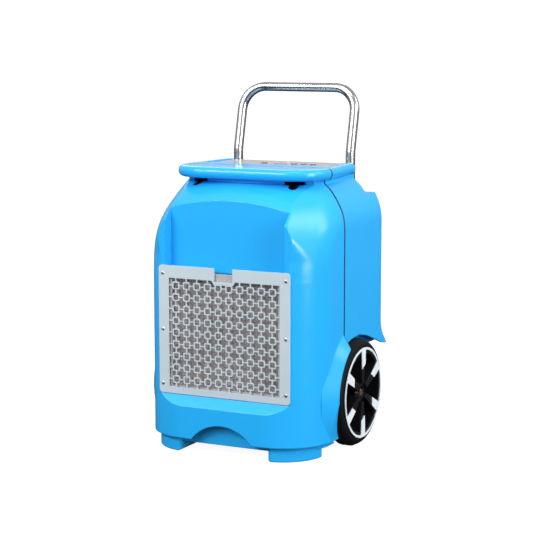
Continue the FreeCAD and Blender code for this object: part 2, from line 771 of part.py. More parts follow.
def handle_path():
    """The centre line of the handle: upright legs, a lean back and a level bar."""
    lean = math.tan(math.radians(number("handle_lean")))
    low, kink, top = number("leg_low"), number("kink_high"), number("bar_high")
    back = number("leg_depth")
    half = number("leg_half")
    right = [at(half, back, low), at(half, back, kink), at(half, back + (top - kink) * lean, top)]
    points = [Vector(-point.x, point.y, point.z) for point in right]
    return points + right[::-1]


def tube_along(points, bends, radius):
    """A round tube's solid along straight runs joined by tangent arcs."""
    edges = []
    last = points[0]
    for before, corner, after, bend in zip(points, points[1:], points[2:], bends):
        come, leave = (before - corner).normalize(), (after - corner).normalize()
        reach = bend / math.tan(come.getAngle(leave) / 2)
        middle_way = (come + leave).normalize()
        centre = corner + middle_way * (bend / math.sin(come.getAngle(leave) / 2))
        start, finish = corner + come * reach, corner + leave * reach
        edges.append(Part.LineSegment(last, start).toShape())
        edges.append(Part.Arc(start, centre - middle_way * bend, finish).toShape())
        last = finish
    edges.append(Part.LineSegment(last, points[-1]).toShape())
    spine = Part.Wire(edges)
    ring = Part.Wire(Part.makeCircle(radius, points[0], points[1] - points[0]))
    return spine.makePipeShell([ring], True, False)


def handle_tube():
    """The bent stainless tube, hollow from end to end."""
    bend = number("handle_bend")
    bends = (60.0, bend, bend, 60.0)
    outer = tube_along(handle_path(), bends, number("tube_radius"))
    inner = tube_along(handle_path(), bends, number("tube_radius - tube_wall"))
    return outer.cut(inner)


node("handle_tube", feature("HandleTube", handle_tube()))

plugs = []
for side_name, sign in SIDES.items():
    leg = "%d * leg_half" % sign
    core = cylinder("PlugCore_" + side_name, "tube_radius - tube_wall", 14, leg, "leg_depth",
                    "leg_low")
    stop = cylinder("PlugStop_" + side_name, "tube_radius + 3", 8, leg, "leg_depth", "leg_low - 8")
    plugs.append(fuse("Plug_" + side_name, [core, stop]))
    tube = cylinder("SocketTube_" + side_name, "tube_radius + 4.5", 136, leg, "leg_depth", 446)
    collar = cylinder("SocketCollar_" + side_name, "tube_radius + 10.5", 6, leg, "leg_depth",
                      "hump_top + 0.2")
    bore = cylinder("SocketBore_" + side_name, "tube_radius + 0.35", 150, leg, "leg_depth", 440)
    hole = cylinder("SocketClampHole_" + side_name, 4.4, 30, leg, "leg_depth", "knob_high", "y")
    node("handle_socket_" + side_name, cut("Socket_" + side_name,
         fuse("SocketParts_" + side_name, [tube, collar]), [bore, hole]))
node("handle_end_plugs", group("HandleEndPlugs", plugs))


def clamp_knob(side_name, sign):
    """A lobed hand knob whose stud clamps the handle leg in its socket."""
    owner = body("Knob_" + side_name)
    disc = sketch(owner, "XY_Plane", "KnobDisc_" + side_name)
    draw_circle(disc, 15)
    pad(owner, disc, 16, "KnobCore_" + side_name)
    lobe = sketch(owner, "XY_Plane", "KnobLobe_" + side_name)
    draw_circle(lobe, 4.5, 14, 0)
    ear = pad(owner, lobe, 16, "KnobEar_" + side_name)
    repeat_round(owner, ear, lobe, 6, "KnobEars_" + side_name)
    stud = sketch(owner, "XY_Plane", "KnobStud_" + side_name)
    draw_circle(stud, 4)
    shaft = pad(owner, stud, "body_deep + 2 - leg_depth - tube_radius - 0.6",
                "KnobShaft_" + side_name, True)
    owner.Tip = shaft
    place(owner, "%d * leg_half" % sign, "body_deep + 2", "knob_high", "y")
    return node("clamp_knob_" + side_name, owner)


for side_name, sign in SIDES.items():
    clamp_knob(side_name, sign)

# ---------------------------------------------------------------- control panel


def control_panel():
    """The smooth plate that fills the rim, pierced for its window, buttons and screws."""
    plate = rim_prism(27, 640.2, 643.4).fuse(block((-149, 149), (300, 346.5), (640.2, 643.4)))
    plate = plate.common(block((-200, 200), ("panel_front + 1", 400), (640, 650)))
    tools = [block((-6, 32), (252, 280), (630, 650))]
    tools += [rod(7.4, at(x, depth, 630), at(x, depth, 650)) for x, depth in BUTTONS.values()]
    tools += [rod(2.2, at(x, depth, 630), at(x, depth, 650)) for x, depth in PANEL_SCREWS]
    return plate.cut(tools)


node("control_panel", feature("ControlPanel", largest(control_panel())))

for label, (x, depth) in BUTTONS.items():
    cap = cylinder(label + "_cap", 7.1, 7, x, depth, 638.4)
    lip = cylinder(label + "_lip", 9, 2, x, depth, 637.4)
    node(label, fuse(label + "_parts", [cap, lip]))

node("display_window", fuse("DisplayWindow", [
    box("DisplayLens", (-5.6, 31.6), (252.4, 279.6), (640, 643)),
    box("DisplayBlock", (-9, 35), (249, 283), (630, 640.2))]))
screws = []
for index, (x, depth) in enumerate(PANEL_SCREWS):
    head = cylinder("PanelScrewHead%d" % index, 4.2, 1.8, x, depth, 643.4)
    shank = cylinder("PanelScrewShank%d" % index, 1.9, 7, x, depth, 637)
    screws.append(fuse("PanelScrew%d" % index, [head, shank]))
node("panel_screws", group("PanelScrews", screws))


board = [box("BoardPlate", (-60, 120), (236, 296), (622, 624))]
for index, (x, depth) in enumerate(BUTTONS.values()):
    board.append(cylinder("BoardSwitch%d" % index, 4.5, 11, x, depth, 624))
for index, (x, depth) in enumerate(((-54, 242), (114, 242), (-54, 290), (114, 290))):
    board.append(cylinder("BoardPost%d" % index, 3, 16.2, x, depth, 624))
node("circuit_board", fuse("CircuitBoard", board))

# ---------------------------------------------------------------- cooling circuit


def coil(label, low, high):
    """A finned block between two end plates, with its tube bends at one end."""
    parts = [block((-126, 126), (low, high), (152, 392)),
             block((-128, -126), (low - 2, high + 2), (150, 396)),
             block((126, 128), (low - 2, high + 2), (150, 396))]
    for z in range(200, 321, 30):
        middle = at(128, (low + high) / 2, z)
        outer_half = Part.makeBox(20, 60, 60, middle - Vector(0, 30, 30))
        parts.append(Part.makeTorus(11, 4, middle, Vector(0, 1, 0)).common(outer_half))
    return node(label, feature(label + "_shape", parts[0].fuse(parts[1:])))


coil("evaporator", 44, 88)
coil("condenser", 98, 142)

tray_outer = box("DripTrayOuter", (-140, 140), (38, 148), (126, 148))
tray_inner = box("DripTrayInner", (-138, 138), (40, 146), (128, 160))
spout = box("DripSpoutOuter", (85, 99), (147, 168), (126, 136))
channel = box("DripSpoutChannel", (87, 97), (145, 170), (128, 140))
node("drip_tray", cut("DripTray", fuse("DripTrayParts", [tray_outer, spout]),
                      [tray_inner, channel]))

coil_feet = []
for side_name, sign in SIDES.items():
    near, far = sorted((sign * 128.2, sign * 131.2))
    coil_feet.append(box("CoilCheek_" + side_name, (near, far), (42, 144), (148.2, 400)))
    near, far = sorted((sign * 120, sign * 150))
    coil_feet.append(box("CoilFoot_" + side_name, (near, far), (42, 144), (29, 32)))
    near, far = sorted((sign * 147, sign * 150))
    coil_feet.append(box("CoilPost_" + side_name, (near, far), (42, 144), (32, 152)))
    near, far = sorted((sign * 130, sign * 150))
    coil_feet.append(box("CoilLedge_" + side_name, (near, far), (42, 144), (149, 152)))
    coil_feet.append(box("TrayLedge_" + side_name, (near, far), (42, 144), (123, 126)))
bend_holes = box("CoilBendWindow", (128, 132), (50, 138), (176, 345))
node("coil_stand", group("CoilStand", [
    cut("CoilStandRight", fuse("CoilStandRightParts", coil_feet[5:]), [bend_holes]),
    fuse("CoilStandLeft", coil_feet[:5])]))


def turned(label, profile, x, depth, z):
    """A turned body from a half profile of radius and height pairs."""
    owner = body(label + "_body")
    half = sketch(owner, "XZ_Plane", label + "_profile")
    draw_polygon(half, profile)
    revolve(owner, half, label + "_turn")
    return place(owner, x, depth, z)


can = turned("CompressorCan", [(0, 0), (46, 0), (54, 12), (54, 158), (48, 174), (30, 182),
                               (0, 184)], -85, 302, 49)
accumulator = turned("Accumulator", [(0, 0), (16, 0), (22, 8), (22, 112), (16, 120), (0, 120)],
                     -6, 333, 62)
node("compressor", fuse("Compressor", [
    can, accumulator,
    box("SuctionStub", (-44, -22), (321, 329), (70, 82)),
    box("AccumulatorStrap", (-44, -22), (322, 328), (160, 168)),
    box("CompressorPlate", (-137, -33), (251, 353), (45.2, 49))]))
node("filter_drier", turned("FilterDrier", [(0, 0), (4, 0), (10, 12), (10, 78), (4, 90),
                                            (0, 90)], 160, 120, 205))

grommets = []
for index, (x, depth) in enumerate(((-125, 262), (-45, 262), (-125, 342), (-45, 342))):
    grommets.append(cylinder("Grommet%d" % index, 10, 16.2, x, depth, 29))
node("compressor_grommets", group("CompressorGrommets", grommets))


def pipe(label, route, radius, bend):
    """A copper line along straight runs and equal bends."""
    points = [at(*point) for point in route]
    shape = tube_along(points, [bend] * (len(points) - 2), radius)
    return node(label, feature(label + "_shape", shape))


pipe("discharge_line", [(-105, 302, 232.2), (-105, 302, 264), (-105, 208, 264), (-105, 208, 168),
                        (-105, 142.3, 168)], 4.5, 12)
pipe("suction_line", [(-6, 333, 182.3), (-6, 333, 252), (-6, 224, 252), (-160, 224, 252),
                      (-160, 66, 252), (-131.4, 66, 252)], 6, 14)
pipe("liquid_line", [(131.4, 120, 352), (160, 120, 352), (160, 120, 295.3)], 3.5, 10)
pipe("capillary_line", [(160, 120, 204.7), (160, 120, 180), (160, 66, 180), (160, 66, 164),
                        (131.4, 66, 164)], 2, 7)

# ---------------------------------------------------------------- fan and outlet

ring = cut("FanRing", cylinder("FanRingOuter", "fan_radius + 6", 26, 0, 172, "fan_high", "y"),
           [cylinder("FanRingInner", "fan_radius + 4", 30, 0, 170, "fan_high", "y")])
wall = cut("FanWall", box("FanWallPlate", (-148, 148), (172, 174.5), (190, 540)),
           [cylinder("FanWallHole", "fan_radius + 4", 10, 0, 168, "fan_high", "y")])
node("fan_bulkhead", fuse("FanBulkhead", [wall, ring]))


def fan_impeller():
    """Seven pitched blades round a cup-shaped hub."""
    centre = at(0, 178, "fan_high")
    hub = Part.makeCylinder(27, 20, centre, Vector(0, 1, 0))
    hub = hub.cut(Part.makeCylinder(4.05, 20, centre, Vector(0, 1, 0)))
    blades = []
    for index in range(7):
        blade = Part.makeBox(2.4, 44, 76, centre + Vector(-1.2, -12, 22))
        blade.rotate(centre + Vector(0, 10, 0), Vector(0, 0, 1), 62)
        blade.rotate(centre, Vector(0, 1, 0), 360 * index / 7)
        blades.append(blade)
    reach = Part.makeCylinder(number("fan_radius - 2"), 24, centre - Vector(0, 2, 0),
                              Vector(0, 1, 0))
    bore = Part.makeCylinder(26, 40, centre - Vector(0, 10, 0), Vector(0, 1, 0))
    return hub.fuse(Part.Compound(blades).common(reach).cut(bore))


node("fan_impeller", feature("FanImpeller", largest(fan_impeller())))
node("fan_motor", fuse("FanMotor", [
    cylinder("MotorCase", 36, 52, 0, 212, "fan_high", "y"),
    cylinder("MotorShaft", 4, 34, 0, 180, "fan_high", "y")]))
bracket = [box("MotorStrapLevel", (-68, 68), (264, 267), ("fan_high - 9", "fan_high + 9"))]
for side_name, sign in SIDES.items():
    near, far = sorted((sign * 56, sign * 68))
    bracket.append(box("MotorStrap_" + side_name, (near, far), (264, 267),
                       ("fan_high - 117", "fan_high + 117")))
    for index, rise in enumerate((-111, 111)):
        bracket.append(cylinder("MotorRod_%s%d" % (side_name, index), 4, 91, sign * 62, 174.5,
                                "fan_high + (%d)" % rise, "y"))
node("motor_bracket", fuse("MotorBracket", bracket))


def outlet_grille():
    """A round guard of concentric rings on eight spokes, with a fixing flange."""
    owner = body("OutletGrilleBody")
    flange = sketch(owner, "XY_Plane", "OutletFlange")
    draw_circle(flange, "fan_radius + 20")
    draw_circle(flange, "fan_radius + 4")
    pad(owner, flange, 3, "OutletFlangePad")
    for index, radius in enumerate((22, 38, 54, 70, 86)):
        hoop = sketch(owner, "XY_Plane", "OutletRing%d" % index)
        draw_circle(hoop, radius + 1.6)
        draw_circle(hoop, radius - 1.6)
        pad(owner, hoop, 3, "OutletRingPad%d" % index)
    spoke = sketch(owner, "XY_Plane", "OutletSpoke")
    draw_polygon(spoke, [(0, -1.8), ("fan_radius + 6", -1.8), ("fan_radius + 6", 1.8), (0, 1.8)])
    bar = pad(owner, spoke, 3, "OutletSpokePad")
    repeat_round(owner, bar, spoke, 8, "OutletSpokes")
    place(owner, 0, "body_deep", "fan_high", "y")
    return node("outlet_grille", owner)


outlet_grille()
screws = []
for index in range(8):
    turn = math.radians(22.5 + 45 * index)
    reach = number("fan_radius") + 13
    screws.append(cylinder("OutletScrew%d" % index, 3.6, 2, reach * math.cos(turn),
                           "body_deep + 3", "fan_high + %.3f" % (reach * math.sin(turn)), "y"))
node("outlet_screws", group("OutletScrews", screws))

# ---------------------------------------------------------------- electrics and drain

node("electrical_box", cut("ElectricalBox",
     box("ElectricalOuter", (46, 138), (258, 350), (29, 175)),
     [box("ElectricalInner", (48, 136), (260, 348), (31, 180)),
      cylinder("ElectricalEntry", 12, 8, 95, 345, 110, "y")]))
node("electrical_lid", box("ElectricalLid", (45, 139), (257, 351), (175, 177)))
node("run_capacitor", cylinder("RunCapacitor", 17, 92, 68, 284, 31))
node("mains_inlet", cut("MainsInlet", fuse("MainsInletParts", [
    cylinder("InletFlange", 19, 3, 95, "lower_deep", 110, "y"),
    cylinder("InletBody", 13.6, 14, 95, "lower_deep - 14", 110, "y")]),
    [cylinder("InletRecess", 10, 12, 95, "lower_deep - 8", 110, "y")]))
node("inlet_pins", group("InletPins", [
    box("InletPin%d" % index, (x - 1, x + 1), ("lower_deep - 8", "lower_deep"), (z - 2.5, z + 2.5))
    for index, (x, z) in enumerate(((90, 107), (100, 107), (95, 115)))]))

reservoir = cut("ReservoirTub", box("ReservoirOuter", (0, 140), (152, 214), (29, 104)),
                [box("ReservoirInner", (2.5, 137.5), (154.5, 211.5), (31.7, 120))])
node("pump_reservoir", reservoir)
node("condensate_pump", fuse("CondensatePump", [
    box("PumpDeck", (10, 70), (150, 216), (104, 107)),
    cylinder("PumpCase", 24, 46, 34, 184, 107),
    cylinder("PumpInlet", 5, 56, 34, 184, 48),
    cylinder("PumpOutlet", 5, 8, 30, 206, 145, "y")]))
node("float_arm", fuse("FloatArm", [
    cylinder("FloatPivot", 2.4, 56.4, 124, 154.8, 88, "y"),
    box("FloatLever", (86, 124), (181, 187), (86, 90)),
    cylinder("FloatBall", 11.5, 22, 86, 184, 64)]))
pipe("drain_hose", [(30, 214, 145), (30, 300, 145), (30, 300, 60), (30, 352, 60)], 5, 22)
node("drain_coupling", cut("DrainCoupling", fuse("DrainParts", [
    cylinder("DrainFlange", 16, 3, 30, "lower_deep", 60, "y"),
    cylinder("DrainBody", 9.6, 12.6, 30, "lower_deep - 12.6", 60, "y"),
    cylinder("DrainSpigot", 9, 24, 30, "lower_deep + 3", 60, "y")]),
    [cylinder("DrainBore", 6, 60, 30, "lower_deep - 14", 60, "y")]))

# ---------------------------------------------------------------- write the files

doc.recompute()
for item in doc.Objects:
    if "Invalid" in item.State or "Error" in item.State:
        raise RuntimeError("failed object: " + item.Label)
os.makedirs("parts", exist_ok=True)
for item in nodes:
    shape = item.Shape
    if shape.isNull() or not shape.isValid():
        raise RuntimeError("bad shape: " + item.Label)
    shape.exportStep(os.path.join("parts", item.Label + ".step"))
print("nodes written:", len(nodes))
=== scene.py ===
"""Looks of the commercial dehumidifier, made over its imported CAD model.

The CAD nodes keep their shape and get node-based materials.  Where the CAD solid is
only a plain stand-in, such as the tyres, the screws and the woven filter, a detailed
mesh replaces it.  Everything is in metres, in the model's own frame.
"""
import math

import bmesh
import bpy
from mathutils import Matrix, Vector


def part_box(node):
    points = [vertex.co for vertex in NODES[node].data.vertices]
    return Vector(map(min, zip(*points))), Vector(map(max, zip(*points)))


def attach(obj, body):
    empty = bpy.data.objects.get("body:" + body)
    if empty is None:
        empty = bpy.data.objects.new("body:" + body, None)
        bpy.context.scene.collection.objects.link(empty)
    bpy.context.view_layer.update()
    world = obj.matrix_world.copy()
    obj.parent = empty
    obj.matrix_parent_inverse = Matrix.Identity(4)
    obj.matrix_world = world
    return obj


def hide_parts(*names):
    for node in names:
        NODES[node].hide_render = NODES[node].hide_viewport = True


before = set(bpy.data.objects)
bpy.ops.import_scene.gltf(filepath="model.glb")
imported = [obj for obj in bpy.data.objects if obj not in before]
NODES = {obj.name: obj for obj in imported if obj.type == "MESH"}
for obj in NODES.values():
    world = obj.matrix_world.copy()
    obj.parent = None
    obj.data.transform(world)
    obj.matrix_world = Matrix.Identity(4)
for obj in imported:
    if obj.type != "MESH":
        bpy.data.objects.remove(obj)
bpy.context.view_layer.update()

SIDES = ("left", "right")
SEAM_AT = (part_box("seam_gasket")[0].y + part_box("seam_gasket")[1].y) / 2   # along Y


# ---------------------------------------------------------------- objects and meshes

def add_object(name, data):
    """A new object, linked into the scene."""
    item = bpy.data.objects.new(name, data)
    bpy.context.scene.collection.objects.link(item)
    return item


def turn_towards(item, way):
    """Turns a camera or a lamp to look along a direction."""
    item.rotation_mode = "QUATERNION"
    item.rotation_quaternion = way.to_track_quat("-Z", "Y")


def finished_mesh(name, shape, sharp):
    """A smooth-shaded mesh from a bmesh; edges of more than sharp degrees stay sharp."""
    bmesh.ops.recalc_face_normals(shape, faces=shape.faces)
    mesh = bpy.data.meshes.new(name)
    shape.to_mesh(mesh)
    shape.free()
    mesh.polygons.foreach_set("use_smooth", [True] * len(mesh.polygons))
    mesh.set_sharp_from_angle(angle=math.radians(sharp))
    return mesh


def directions_round(axis, steps):
    """Unit vectors spaced evenly round an axis."""
    side = axis.orthogonal().normalized()
    other = axis.cross(side)
    turns = [2 * math.pi * step / steps for step in range(steps)]
    return [side * math.cos(turn) + other * math.sin(turn) for turn in turns]


def join_rings(shape, before, after):
    """Faces between two rings that have as many vertices."""
    for index in range(len(before)):
        follow = (index + 1) % len(before)
        shape.faces.new((before[index], before[follow], after[follow], after[index]))


def islands(node):
    """The lowest and highest corners of each loose solid in a CAD node."""
    shape = bmesh.new()
    shape.from_mesh(NODES[node].data)
    bmesh.ops.remove_doubles(shape, verts=shape.verts, dist=1e-6)
    left = set(shape.verts)
    found = []
    while left:
        waiting = [left.pop()]
        group = list(waiting)
        while waiting:
            for edge in waiting.pop().link_edges:
                fresh = [vert for vert in edge.verts if vert in left]
                left.difference_update(fresh)
                waiting += fresh
                group += fresh
        low = Vector([min(vert.co[axis] for vert in group) for axis in range(3)])
        high = Vector([max(vert.co[axis] for vert in group) for axis in range(3)])
        found.append((low, high))
    shape.free()
    return sorted(found, key=lambda corners: tuple(corners[0]))


# ---------------------------------------------------------------- shader nodes

def new_material(name, color, roughness, **sockets):
    """A node material with its plain values set on the shader's own sockets."""
    material = bpy.data.materials.new(name)
    material.use_nodes = True
    tree = material.node_tree
    shader = tree.nodes["Principled BSDF"]
    shader.inputs["Base Color"].default_value = (*color, 1.0)
    shader.inputs["Roughness"].default_value = roughness
    for socket, value in sockets.items():
        shader.inputs[socket.replace("_", " ")].default_value = value
    return material, tree, shader


def coordinates(tree, stretch=(1, 1, 1)):
    """Object coordinates, stretched along the axes."""
    source = tree.nodes.new("ShaderNodeTexCoord")
    mapping = tree.nodes.new("ShaderNodeMapping")
    mapping.inputs["Scale"].default_value = stretch
    tree.links.new(source.outputs["Object"], mapping.inputs["Vector"])
    return mapping.outputs["Vector"]


def add_split(tree, vector, axis):
    """One component of a vector."""
    split = tree.nodes.new("ShaderNodeSeparateXYZ")
    tree.links.new(vector, split.inputs["Vector"])
    return split.outputs[axis]


def add_noise(tree, scale, detail=2.0, stretch=(1, 1, 1)):
    """A noise pattern's value."""
    noise = tree.nodes.new("ShaderNodeTexNoise")
    noise.inputs["Scale"].default_value = scale
    noise.inputs["Detail"].default_value = detail
    tree.links.new(coordinates(tree, stretch), noise.inputs["Vector"])
    return noise.outputs["Fac"]


def add_ramp(tree, value, stops):
    """A colour ramp through pairs of position and colour."""
    ramp = tree.nodes.new("ShaderNodeValToRGB")
    elements = ramp.color_ramp.elements
    while len(elements) < len(stops):
        elements.new(0.5)
    for element, (position, color) in zip(elements, stops):
        element.position = position
        element.color = (*color, 1.0)
    tree.links.new(value, ramp.inputs["Fac"])
    return ramp.outputs["Color"]


def add_range(tree, value, low, high, start=0.0, stop=1.0, kind="LINEAR"):
    """A value that goes from low to high while the one given goes from start to stop."""
    spread = tree.nodes.new("ShaderNodeMapRange")
    spread.interpolation_type = kind
    spread.inputs["From Min"].default_value = start
    spread.inputs["From Max"].default_value = stop
    spread.inputs["To Min"].default_value = low
    spread.inputs["To Max"].default_value = high
    tree.links.new(value, spread.inputs["Value"])
    return spread.outputs["Result"]


def add_math(tree, operation, value, other=0.0):
    """A value combined with a plain number."""
    sum_up = tree.nodes.new("ShaderNodeMath")
    sum_up.operation = operation
    sum_up.inputs[1].default_value = other
    tree.links.new(value, sum_up.inputs[0])
    return sum_up.outputs["Value"]


def add_bump(tree, shader, height, strength, distance, edge=0.0):
    """A bump from a height value, over edges rounded by a bevel of the given radius."""
    bump = tree.nodes.new("ShaderNodeBump")
    bump.inputs["Strength"].default_value = strength
    bump.inputs["Distance"].default_value = distance
    tree.links.new(height, bump.inputs["Height"])
    if edge:
        bevel = tree.nodes.new("ShaderNodeBevel")
        bevel.samples = 6
        bevel.inputs["Radius"].default_value = edge
        tree.links.new(bevel.outputs["Normal"], bump.inputs["Normal"])
    tree.links.new(bump.outputs["Normal"], shader.inputs["Normal"])


def shade(color, factor):
    """A colour made darker or lighter."""
    return tuple(min(1.0, channel * factor) for channel in color)


def mottled(name, color, roughness, grain, depth, edge=0.0006, spread=0.06, stretch=(1, 1, 1),
            **sockets):
    """A surface with a slow drift of colour, a fine grain and uneven roughness.

    grain is how many grains lie in a metre and depth is how deep they are.  edge is how
    far the shading rounds the edges, and spread is how much the colour drifts.
    """
    material, tree, shader = new_material(name, color, roughness, **sockets)
    drift = add_noise(tree, 9.0, 3.0)
    tint = add_ramp(tree, drift, [(0.3, shade(color, 1 - spread)), (0.7, shade(color, 1 + spread))])
    tree.links.new(tint, shader.inputs["Base Color"])
    uneven = add_noise(tree, 45.0, 4.0)
    tree.links.new(add_range(tree, uneven, roughness * 0.85, roughness * 1.15),
                   shader.inputs["Roughness"])
    grains = add_noise(tree, grain, 2.0, stretch)
    add_bump(tree, shader, grains, 0.35, depth, edge)
    return material


# ---------------------------------------------------------------- camera

CAMERA_PLACE = (1.7146, -3.4319, 0.9498)
CAMERA_YAW = 0.458          # radians that it stands round to the right
CAMERA_PITCH = 0.146        # radians that it looks down
CAMERA_LENS = 108.3         # millimetres, for a sensor 36 mm wide


def add_camera():
    """The camera, at the photograph's place relative to the machine."""
    data = bpy.data.cameras.new("camera")
    data.sensor_width = 36.0
    data.lens = CAMERA_LENS
    data.clip_start = 0.05
    data.clip_end = 60.0
    camera = add_object("camera", data)
    camera.location = CAMERA_PLACE
    level = math.cos(CAMERA_PITCH)
    turn_towards(camera, Vector((-math.sin(CAMERA_YAW) * level, math.cos(CAMERA_YAW) * level,
                                 -math.sin(CAMERA_PITCH))))
    bpy.context.scene.camera = camera


# ---------------------------------------------------------------- light and floor

# Each lamp's name, place, height aimed at, width and height, and power in watts.
LAMPS = (
    ("softbox_right", (3.0, 0.9, 2.6), 0.40, (0.9, 2.0), 34),
    ("softbox_flank", (3.4, -1.0, 1.4), 0.40, (1.2, 2.6), 112),
    ("softbox_front", (-1.2, -3.8, 2.1), 0.45, (2.6, 1.4), 58),
    ("strip_front", (-1.7, -2.9, 2.8), 0.40, (2.6, 0.3), 90),
    ("softbox_top", (0.2, -1.3, 3.4), 0.40, (1.6, 0.8), 24),
    ("softbox_back", (-1.5, 2.6, 2.2), 0.40, (2.0, 1.6), 26),
)
FLOOR_FRONT = -9.0
FLOOR_BACK = 4.0            # where the floor starts to curve up
FLOOR_HALF = 14.0           # half of its width
FLOOR_CURVE = 3.0           # radius of the curve
FLOOR_TOP = 12.0
FLOOR_DROP = 0.0005         # gap under the machine


def add_lamps():
    """Softboxes at the right, in front, above and behind."""
    for name, place, height, size, power in LAMPS:
        data = bpy.data.lights.new(name, "AREA")
        data.shape = "RECTANGLE"
        data.size, data.size_y = size
        data.energy = power
        lamp = add_object(name, data)
        lamp.location = place
        turn_towards(lamp, Vector((0, 0, height)) - Vector(place))


def add_surround():
    """An even white surround that is dim below the horizon."""
    world = bpy.data.worlds.new("studio")
    world.use_nodes = True
    tree = world.node_tree
    source = tree.nodes.new("ShaderNodeTexCoord")
    height = add_split(tree, source.outputs["Generated"], "Z")
    background = tree.nodes["Background"]
    background.inputs["Color"].default_value = (1.0, 1.0, 1.0, 1.0)
    tree.links.new(add_range(tree, height, 0.05, 0.54, -0.25, 0.25), background.inputs["Strength"])
    bpy.context.scene.world = world


def floor_profile():
    """The floor's line from front to back: level, then curved up into the backdrop."""
    line = [(FLOOR_FRONT, 0.0), (FLOOR_BACK, 0.0)]
    steps = 12
    for step in range(1, steps + 1):
        turn = math.pi / 2 * step / steps
        line.append((FLOOR_BACK + FLOOR_CURVE * math.sin(turn),
                     FLOOR_CURVE - FLOOR_CURVE * math.cos(turn)))
    return line + [(FLOOR_BACK + FLOOR_CURVE, FLOOR_TOP)]


def floor_material():
    """A glowing white with a barely uneven roughness."""
    material, tree, shader = new_material("floor_white", (0.25, 0.25, 0.26), 0.9)
    shader.inputs["Specular IOR Level"].default_value = 0.1
    shader.inputs["Emission Color"].default_value = (1, 1, 1, 1)
    shader.inputs["Emission Strength"].default_value = 0.93
    tree.links.new(add_range(tree, add_noise(tree, 3.0), 0.85, 0.95), shader.inputs["Roughness"])
    return material


def add_floor():
    """A wide pale floor with a backdrop, square to the camera; its glow lights nothing."""
    mesh = bpy.data.meshes.new("floor")
    points, faces = [], []
    for y, z in floor_profile():
        points += [(-FLOOR_HALF, y, z - FLOOR_DROP), (FLOOR_HALF, y, z - FLOOR_DROP)]
    for first in range(0, len(points) - 2, 2):
        faces.append((first, first + 1, first + 3, first + 2))
    mesh.from_pydata(points, [], faces)
    mesh.polygons.foreach_set("use_smooth", [True] * len(mesh.polygons))
    mesh.materials.append(floor_material())
    floor = add_object("floor", mesh)
    floor.rotation_euler = (0, 0, CAMERA_YAW)
    floor.visible_diffuse = False
    floor.visible_glossy = False


# ---------------------------------------------------------------- materials

BLUE = (0.018, 0.385, 0.84)


def blue_plastic():
    """Satin moulded plastic, with painted shade darkening it next to the joint between the shells.
    """
    material = mottled("blue_plastic", BLUE, 0.22, 700.0, 0.00002, edge=0.004, spread=0.015,
                       Specular_IOR_Level=0.38)
    tree = material.node_tree
    color = tree.nodes["Principled BSDF"].inputs["Base Color"]
    # Painted shade: the colour is scaled to 0.22 within 2.2 mm of the joint plane and back to full
    # by 4.8 mm, standing in for the shade in the seam.
    offset = add_math(tree, "SUBTRACT", add_split(tree, coordinates(tree), "Y"), SEAM_AT)
    away = add_math(tree, "ABSOLUTE", offset)
    painted_seam_shade = tree.nodes.new("ShaderNodeVectorMath")
    painted_seam_shade.operation = "SCALE"
    tree.links.new(color.links[0].from_socket, painted_seam_shade.inputs["Vector"])
    tree.links.new(add_range(tree, away, 0.22, 1.0, 0.0022, 0.0048, "SMOOTHSTEP"),
                   painted_seam_shade.inputs["Scale"])
    tree.links.new(painted_seam_shade.outputs["Vector"], color)
    return material


def polished_steel():
    """Polished stainless tube with faint drawing lines along it."""
    material, tree, shader = new_material("polished_steel", (0.5, 0.51, 0.52), 0.22, Metallic=1.0)
    lines = add_noise(tree, 900.0, 3.0, (1, 1, 0.02))
    tree.links.new(add_range(tree, lines, 0.2, 0.24), shader.inputs["Roughness"])
    drift = add_noise(tree, 14.0)
    tint = add_ramp(tree, drift, [(0.3, (0.46, 0.46, 0.47)), (0.7, (0.54, 0.55, 0.56))])
    tree.links.new(tint, shader.inputs["Base Color"])
    return material


def finned_metal(name, color):
    """Aluminium fins seen edge on, as fine upright lines, with painted shade in the slots between
    them.
    """
    material, tree, shader = new_material(name, color, 0.38, Metallic=0.9)
    wave = tree.nodes.new("ShaderNodeTexWave")
    wave.bands_direction = "X"
    wave.inputs["Scale"].default_value = 130.0
    wave.inputs["Distortion"].default_value = 0.6
    tree.links.new(coordinates(tree), wave.inputs["Vector"])
    # Painted shade: the dark bands, at 0.18 of the fin colour, stand in for the shade in the slots
    # between the fins.
    tint = add_ramp(tree, wave.outputs["Fac"], [(0.35, shade(color, 0.18)), (0.75, color)])
    tree.links.new(tint, shader.inputs["Base Color"])
    add_bump(tree, shader, wave.outputs["Fac"], 0.8, 0.001, 0.0005)
    return material


